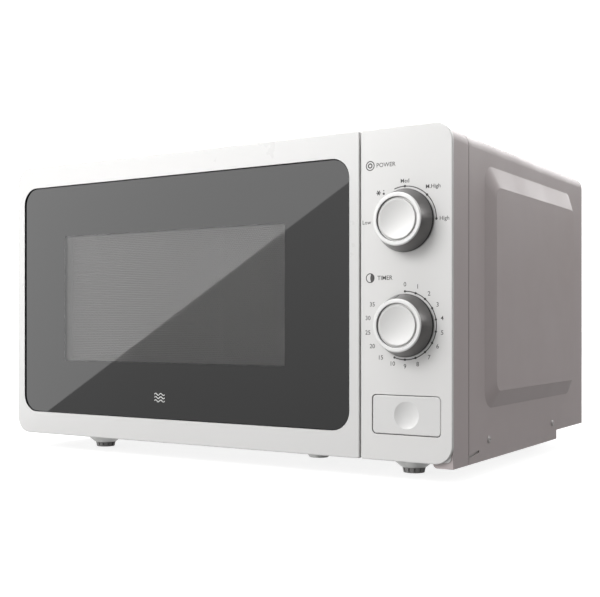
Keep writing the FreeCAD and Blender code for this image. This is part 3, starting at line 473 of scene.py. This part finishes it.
# timer scale: sixteen marks, twenty degrees apart
MINUTES = list(range(11)) + [15, 20, 25, 30, 35]
SCALE_END = 200
ink.arc(KNOB_X, TIMER_Z, SCALE_R, SCALE_WIDTH, 0, SCALE_END, 90)
for i, minutes in enumerate(MINUTES):
    angle = 20 * i
    turn = math.radians(angle)
    if angle <= SCALE_END:
        ink.dot(KNOB_X + SCALE_R * math.sin(turn), TIMER_Z + SCALE_R * math.cos(turn), 0.9)
    label(str(minutes), TIMER_Z, angle, 31.0 if minutes > 10 else 29.9, 3.3)

# heading marks: a double ring for power, a half-filled ring for time
ICON_X = KNOB_X - 28.6
ink.arc(ICON_X, POWER_Z + 42.0, 3.3, 0.8, 0, 360, 40)
ink.arc(ICON_X, POWER_Z + 42.0, 1.5, 0.95, 0, 360, 30)
lettering(ink, "POWER", ICON_X + 13.0, POWER_Z + 41.8, 3.3)
ink.arc(ICON_X, TIMER_Z + 35.2, 3.3, 0.7, 0, 360, 40)
ink.arc(ICON_X, TIMER_Z + 35.2, 1.6, 3.2, 10, 170, 24)
lettering(ink, "TIMER", ICON_X + 12.2, TIMER_Z + 35.0, 3.3)
ink.build("panel_print", print_grey, "chassis")

# ---------------------------------------------------------------- door glass prints
glass_lo, glass_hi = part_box("door_glass")
GX0, GX1 = glass_lo[0] / MM, glass_hi[0] / MM
GZ0, GZ1 = glass_lo[2] / MM, glass_hi[2] / MM
GLASS_FRONT = (glass_lo[1] - FACE_Y) / MM
GLASS_BACK = (glass_hi[1] - FACE_Y) / MM


def ring_points(x0, x1, z0, z1, radius, steps=12):
    points = []
    for cx, cz, start in ((x1 - radius, z1 - radius, 0), (x0 + radius, z1 - radius, 90),
                          (x0 + radius, z0 + radius, 180), (x1 - radius, z0 + radius, 270)):
        for i in range(steps + 1):
            turn = math.radians(start + 90 * i / steps)
            points.append((cx + radius * math.cos(turn), cz + radius * math.sin(turn)))
    return points


mask = Sheet(GLASS_BACK - 0.08)
outer = ring_points(GX0 + 0.1, GX1 - 0.1, GZ0 + 0.1, GZ1 - 0.1, 14.4)
inner = ring_points(WX0, WX1, WZ0, WZ1, 3.0)
for i in range(len(outer)):
    j = (i + 1) % len(outer)
    mask.quad([outer[i], inner[i], inner[j], outer[j]])
mask.build("glass_back_mask", print_black, "door")

badge = Sheet(GLASS_FRONT - 0.03)
BADGE_X, BADGE_Z = -49.5, 52.5
STROKE = 0.7
for row in range(3):
    for i in range(16):
        x0 = BADGE_X - 8 * STROKE + STROKE * i
        z0 = BADGE_Z - 2.8 + 2.8 * row
        wave = [z0 + 0.9 * math.sin(2 * math.pi * k / 8.0) for k in (i, i + 1)]
        badge.line(x0, wave[0], x0 + 0.72, wave[1], 0.75)
badge.build("glass_wave_mark", print_light, "door")

# ---------------------------------------------------------------- perforated screen
screen_lo, screen_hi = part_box("door_screen")
SX0, SX1 = screen_lo[0] / MM, screen_hi[0] / MM
SZ0, SZ1 = screen_lo[2] / MM, screen_hi[2] / MM
SDEPTH = (screen_lo[1] - FACE_Y) / MM


def perforated():
    """The shielding sheet with its close field of six-sided holes, as real mesh."""
    pitch = 1.8
    hole_reach = 0.66
    row_step = pitch * math.sqrt(0.75)
    rows = int((WZ1 - WZ0 + 4) / row_step)
    columns = int((WX1 - WX0 + 4) / pitch)
    left = (WX0 + WX1) / 2 - (columns - 0.5) * pitch / 2
    low = (WZ0 + WZ1) / 2 - (rows - 1) * row_step / 2
    depth = SDEPTH + 0.3
    reach = pitch / math.sqrt(3)
    points = []
    faces = []
    shared = {}

    def corner(x, z):
        key = (round(x * 50), round(z * 50))
        if key not in shared:
            shared[key] = len(points)
            points.append(P(x, depth, z))
        return shared[key]

    for row in range(rows):
        for column in range(columns):
            cx = left + (column + 0.5 * (row % 2)) * pitch
            cz = low + row * row_step
            outer = []
            hole = len(points)
            for n in range(6):
                turn = math.radians(30 + 60 * n)
                points.append(P(cx + hole_reach * math.cos(turn), depth, cz + hole_reach * math.sin(turn)))
            for n in range(6):
                turn = math.radians(30 + 60 * n)
                outer.append(corner(cx + reach * math.cos(turn), cz + reach * math.sin(turn)))
            for n in range(6):
                m = (n + 1) % 6
                faces.append((outer[n], outer[m], hole + m, hole + n))
    x0, x1 = left, left + (columns - 0.5) * pitch
    z0, z1 = low, low + (rows - 1) * row_step
    first = len(points)
    points += [P(x, depth + 0.02, z) for x, z in ((x0, z0), (x1, z0), (x1, z1), (x0, z1))]
    points += [P(x, depth + 0.02, z) for x, z in ((SX0, SZ0), (SX1, SZ0), (SX1, SZ1), (SX0, SZ1))]
    for n in range(4):
        m = (n + 1) % 4
        faces.append((first + 4 + n, first + 4 + m, first + m, first + n))
    mesh = bpy.data.meshes.new("screen_perforated")
    mesh.from_pydata(points, [], faces)
    mesh.update()
    obj = bpy.data.objects.new("screen_perforated", mesh)
    scene.collection.objects.link(obj)
    thick = obj.modifiers.new("thickness", "SOLIDIFY")
    thick.thickness = 0.0003
    thick.offset = 0.0
    dress(obj, screen_paint)
    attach(obj, "door")
    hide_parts("door_screen")


perforated()


def coil_spring():
    """The hooks' return spring, which shortens as the hooks lift, drawn as a wire coil at one fixed length.
    """
    low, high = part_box("hook_spring")
    wire = 0.00035
    centre_x, centre_y = (low[0] + high[0]) / 2, (low[1] + high[1]) / 2
    radius = (high[0] - low[0]) / 2 - wire
    turns, steps, sides = 9, 20, 8
    count = turns * steps
    points = []
    faces = []
    for i in range(count + 1):
        angle = 2 * math.pi * i / steps
        z = low[2] + wire + (high[2] - low[2] - 2 * wire) * i / count
        for k in range(sides):
            around = 2 * math.pi * k / sides
            reach = radius + wire * math.cos(around)
            points.append((centre_x + reach * math.cos(angle), centre_y + reach * math.sin(angle),
                           z + wire * math.sin(around)))
    for i in range(count):
        for k in range(sides):
            n = (k + 1) % sides
            faces.append((i * sides + k, (i + 1) * sides + k, (i + 1) * sides + n, i * sides + n))
    faces.append(tuple(range(sides)))
    faces.append(tuple(count * sides + k for k in reversed(range(sides))))
    mesh = bpy.data.meshes.new("hook_spring_coil")
    mesh.from_pydata(points, [], faces)
    mesh.update()
    obj = bpy.data.objects.new("hook_spring_coil", mesh)
    scene.collection.objects.link(obj)
    dress(obj, steel)
    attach(obj, "door")
    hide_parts("hook_spring")
    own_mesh(obj)


coil_spring()

# ---------------------------------------------------------------- stage
floor_mesh = bpy.data.meshes.new("floor")
FLOOR_HALF = 14
floor_mesh.from_pydata([(-FLOOR_HALF, -FLOOR_HALF, 0), (FLOOR_HALF, -FLOOR_HALF, 0),
                        (FLOOR_HALF, FLOOR_HALF, 0), (-FLOOR_HALF, FLOOR_HALF, 0)], [], [(0, 1, 2, 3)])
floor = bpy.data.objects.new("floor", floor_mesh)
scene.collection.objects.link(floor)
paper = Shader("pale_floor", (0.34, 0.34, 0.34), 0.85).vary(0.01, 1.5).worn(0.05, 3.0)
reach = paper.new("ShaderNodeVectorMath", operation="LENGTH")
paper.link(paper.coord, reach.inputs[0])
glow = paper.span(reach.outputs["Value"], 0.45, 2.2, 0.81, 1.0)
paper.link(glow, paper.bsdf.inputs["Emission Strength"])
paper.set(Emission_Color=(1.0, 1.0, 1.0, 1.0), Specular_IOR_Level=0.1)
dress(floor, paper)
floor.visible_diffuse = False
floor.visible_glossy = False

# pale wall far behind the floor's edge, seen by the camera only
SIDES, WALL_R = 48, 13.5
turns = [2 * math.pi * i / SIDES for i in range(SIDES)]
rim_points = [(WALL_R * math.cos(t), WALL_R * math.sin(t), z) for z in (-0.5, 16.0) for t in turns]
wall_faces = [(i, (i + 1) % SIDES, SIDES + (i + 1) % SIDES, SIDES + i) for i in range(SIDES)]
wall_mesh = bpy.data.meshes.new("backdrop")
wall_mesh.from_pydata(rim_points, [], wall_faces)
backdrop = bpy.data.objects.new("backdrop", wall_mesh)
scene.collection.objects.link(backdrop)
cloth = Shader("pale_backdrop", (0.8, 0.8, 0.8), 0.9).vary(0.01, 0.5).worn(0.05, 1.0)
cloth.set(Emission_Color=(1.0, 1.0, 1.0, 1.0), Emission_Strength=1.0, Specular_IOR_Level=0.1)
dress(backdrop, cloth)
backdrop.visible_diffuse = False
backdrop.visible_glossy = False
backdrop.visible_transmission = False
backdrop.visible_shadow = False

# surrounding light: dimmer to the right, with a brighter band just above the horizon
world = bpy.data.worlds.new("studio")
scene.world = world
world.use_nodes = True
wt = world.node_tree
background = wt.nodes["Background"]
coord = wt.nodes.new("ShaderNodeTexCoord")
split = wt.nodes.new("ShaderNodeSeparateXYZ")
wt.links.new(coord.outputs["Generated"], split.inputs["Vector"])
ramp = wt.nodes.new("ShaderNodeMapRange")
ramp.interpolation_type = "SMOOTHSTEP"
put(ramp.inputs["From Min"], -0.25)
put(ramp.inputs["From Max"], 0.35)
put(ramp.inputs["To Min"], 1.5)
put(ramp.inputs["To Max"], 0.24)
wt.links.new(split.outputs["X"], ramp.inputs["Value"])
band = wt.nodes.new("ShaderNodeValToRGB")
while len(band.color_ramp.elements) < 4:
    band.color_ramp.elements.new(0.5)
LEVELS = ((0.43, 0.60), (0.58, 0.97), (0.66, 0.90), (0.78, 0.667))
for element, (place, level) in zip(band.color_ramp.elements, LEVELS):
    element.position = place
    element.color = (level, level, level, 1)
upright = wt.nodes.new("ShaderNodeMapRange")
put(upright.inputs["From Min"], -1.0)
put(upright.inputs["From Max"], 1.0)
wt.links.new(split.outputs["Z"], upright.inputs["Value"])
wt.links.new(upright.outputs["Result"], band.inputs["Fac"])
total = wt.nodes.new("ShaderNodeMath")
total.operation = "MULTIPLY"
wt.links.new(ramp.outputs["Result"], total.inputs[0])
wt.links.new(band.outputs["Color"], total.inputs[1])
wt.links.new(total.outputs["Value"], background.inputs["Strength"])
put(background.inputs["Color"], (1.0, 1.0, 1.0, 1))


def area_light(name, centre, target, width, height, radiance, roll=None, colour=(1, 1, 1)):
    data = bpy.data.lights.new(name, "AREA")
    data.shape = "RECTANGLE"
    data.size = width
    data.size_y = height
    data.energy = radiance * math.pi * width * height
    data.color = colour
    obj = bpy.data.objects.new(name, data)
    scene.collection.objects.link(obj)
    aim = (Vector(target) - Vector(centre)).normalized()
    across = Vector(roll).normalized() if roll else Vector((0, 0, 1)).cross(aim).normalized()
    across = (across - aim * across.dot(aim)).normalized()
    up = (-aim).cross(across).normalized()
    turned = Matrix((across, up, -aim)).transposed().to_4x4()
    turned.translation = centre
    obj.matrix_world = turned
    obj.visible_camera = False
    return obj


# soft box at the left front: its lower right edge is what the glass mirrors as a diagonal
low_end = P(-443, -256.5, 8)
high_end = P(-116, -454.5, 298)
edge = (high_end - low_end).normalized()
middle = (low_end + high_end) / 2
glass_mid = P(-40, 0, 137)
facing = (glass_mid - middle).normalized()
aside = facing.cross(edge).normalized()
if aside.z < 0:
    aside = -aside
normal = edge.cross(aside).normalized()
if normal.dot(facing) < 0:
    normal = -normal
BOX_W, BOX_H = 0.70, 0.36
box_centre = middle + aside * (BOX_H / 2)
soft_box = area_light("soft_box", box_centre, box_centre + normal, BOX_W, BOX_H, 1.9, edge)
soft_box.visible_diffuse = False

area_light("front_light", P(-330, -780, 760), P(-50, 0, 150), 0.7, 0.4, 8.5)
area_light("side_light", (1.5, 0.3, 1.0), (0.22, 0.0, 0.13), 1.0, 1.0, 3.4)
area_light("top_light", (-0.2, 0.1, 1.7), (0, 0.05, 0.1), 2.2, 1.8, 2.05, colour=(0.965, 0.985, 1.0))
area_light("back_light", (0.25, 1.9, 1.05), (0.15, 0.0, 0.22), 1.7, 1.0, 2.6)

# ---------------------------------------------------------------- camera
camera_data = bpy.data.cameras.new("camera")
camera = bpy.data.objects.new("camera", camera_data)
scene.collection.objects.link(camera)
scene.camera = camera
camera_data.sensor_width = 36.0
camera_data.lens = 60.84
camera_data.shift_y = 0.0423
camera_data.clip_start = 0.01
camera_data.clip_end = 60
camera.location = (0.5102, FACE_Y - 0.6667, 0.1153)
camera.rotation_euler = (math.radians(90), 0, math.radians(32.07))
scene.view_settings.view_transform = "Standard"
